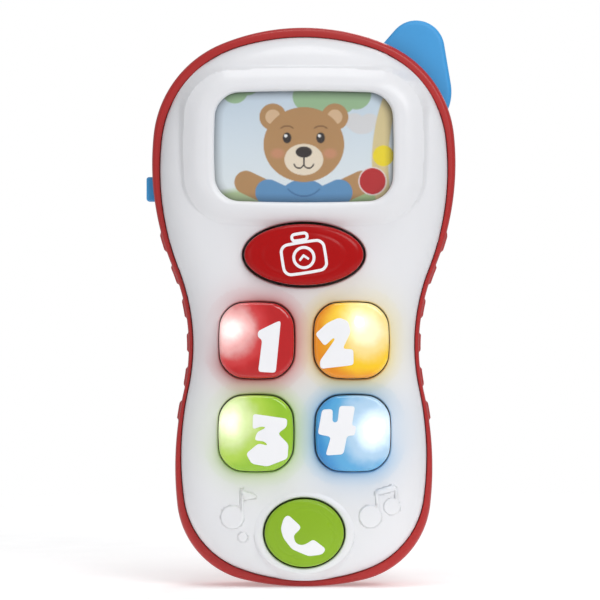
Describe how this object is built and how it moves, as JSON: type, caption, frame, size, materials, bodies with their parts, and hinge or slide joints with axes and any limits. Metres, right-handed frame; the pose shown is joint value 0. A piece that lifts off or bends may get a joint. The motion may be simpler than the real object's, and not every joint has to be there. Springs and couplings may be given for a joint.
{
  "type": "toy cell phone",
  "caption": "Waisted toy telephone with a raised screen, oval camera and call buttons, lit number keys, a paddle antenna, a side slider and a screwed battery door.",
  "frame": {"origin": "lowest point of the casing on its plane of symmetry, at mid depth between the back and the buttons", "axes": "+Z towards the antenna end, -Y out of the face with the screen and keys, +X to the right seen from the front"},
  "size_m": [0.0838, 0.0355, 0.1536],
  "materials": {
    "white_shell": "satin gloss",
    "red_shell": "satin gloss",
    "clear_window": "clear polished plastic",
    "printed_card": "printed",
    "black_frame": "matt",
    "silicone": "matt silicone rubber",
    "board_green": "solder mask",
    "chip_black": "matt",
    "lamp": "clear diffused",
    "speaker_black": "paper cone and pressed frame",
    "white_inner": "matt",
    "screw_steel": "zinc plated",
    "contact_metal": "nickel plated",
    "cell_jacket": "printed film",
    "wire_red": "insulated wire",
    "wire_black": "insulated wire",
    "button_red": "gloss",
    "mark_white": "satin",
    "key_red": "translucent gloss",
    "key_yellow": "translucent gloss",
    "key_green": "translucent gloss",
    "key_blue": "translucent gloss",
    "button_green": "satin gloss",
    "blue_plastic": "satin"
  },
  "bodies": {
    "case": {"front_shell": "white_shell", "rear_shell": "red_shell", "screen_window": "clear_window", "picture_card": "printed_card", "picture_frame": "black_frame", "keypad_membrane": "silicone", "circuit_board": "board_green", "sound_chip": "chip_black", "board_components": "chip_black", "key_lamps": "lamp", "screen_lamp": "lamp", "speaker": "speaker_black", "speaker_clamp": "white_inner", "antenna_washer": "screw_steel", "antenna_screw": "screw_steel", "slide_switch": "contact_metal", "switch_board": "board_green", "battery_cells": "cell_jacket", "battery_springs": "contact_metal", "battery_contacts": "contact_metal", "case_screws": "screw_steel", "battery_wires": "wire_red", "speaker_wires": "wire_black", "switch_wires": "wire_red", "lamp_wires": "wire_red"},
    "camera_key": {"camera_button": "button_red", "camera_mark": "mark_white"},
    "number_key_1": {"key_1": "key_red", "numeral_1": "mark_white"},
    "number_key_2": {"key_2": "key_yellow", "numeral_2": "mark_white"},
    "number_key_3": {"key_3": "key_green", "numeral_3": "mark_white"},
    "number_key_4": {"key_4": "key_blue", "numeral_4": "mark_white"},
    "call_key": {"call_button": "button_green", "handset_mark": "mark_white"},
    "antenna_lever": {"antenna": "blue_plastic"},
    "slider": {"side_slider": "blue_plastic", "switch_actuator": "chip_black"},
    "door": {"battery_door": "red_shell", "door_screw": "screw_steel"}
  },
  "joints": [
    {"name": "camera_press", "type": "slide", "parent": "case", "child": "camera_key", "axis": [0, 1, 0], "range_m": [0, 0.0015], "stiffness_N_per_m": 600, "springref_m": -0.0008},
    {"name": "key_1_press", "type": "slide", "parent": "case", "child": "number_key_1", "axis": [0, 1, 0], "range_m": [0, 0.0015], "stiffness_N_per_m": 600, "springref_m": -0.0008},
    {"name": "key_2_press", "type": "slide", "parent": "case", "child": "number_key_2", "axis": [0, 1, 0], "range_m": [0, 0.0015], "stiffness_N_per_m": 600, "springref_m": -0.0008},
    {"name": "key_3_press", "type": "slide", "parent": "case", "child": "number_key_3", "axis": [0, 1, 0], "range_m": [0, 0.0015], "stiffness_N_per_m": 600, "springref_m": -0.0008},
    {"name": "key_4_press", "type": "slide", "parent": "case", "child": "number_key_4", "axis": [0, 1, 0], "range_m": [0, 0.0015], "stiffness_N_per_m": 600, "springref_m": -0.0008},
    {"name": "call_press", "type": "slide", "parent": "case", "child": "call_key", "axis": [0, 1, 0], "range_m": [0, 0.0015], "stiffness_N_per_m": 600, "springref_m": -0.0008},
    {"name": "antenna_tilt", "type": "hinge", "parent": "case", "child": "antenna_lever", "pos_m": [0.0273, 0.004, 0.1342], "axis": [0, 1, 0], "range_deg": [-10, 10]},
    {"name": "slider_travel", "type": "slide", "parent": "case", "child": "slider", "axis": [0, 0, 1], "range_m": [0, 0.005]},
    {"name": "door_lift", "type": "slide", "parent": "case", "child": "door", "axis": [0, 1, 0], "range_m": [0, 0.03]}
  ]
}
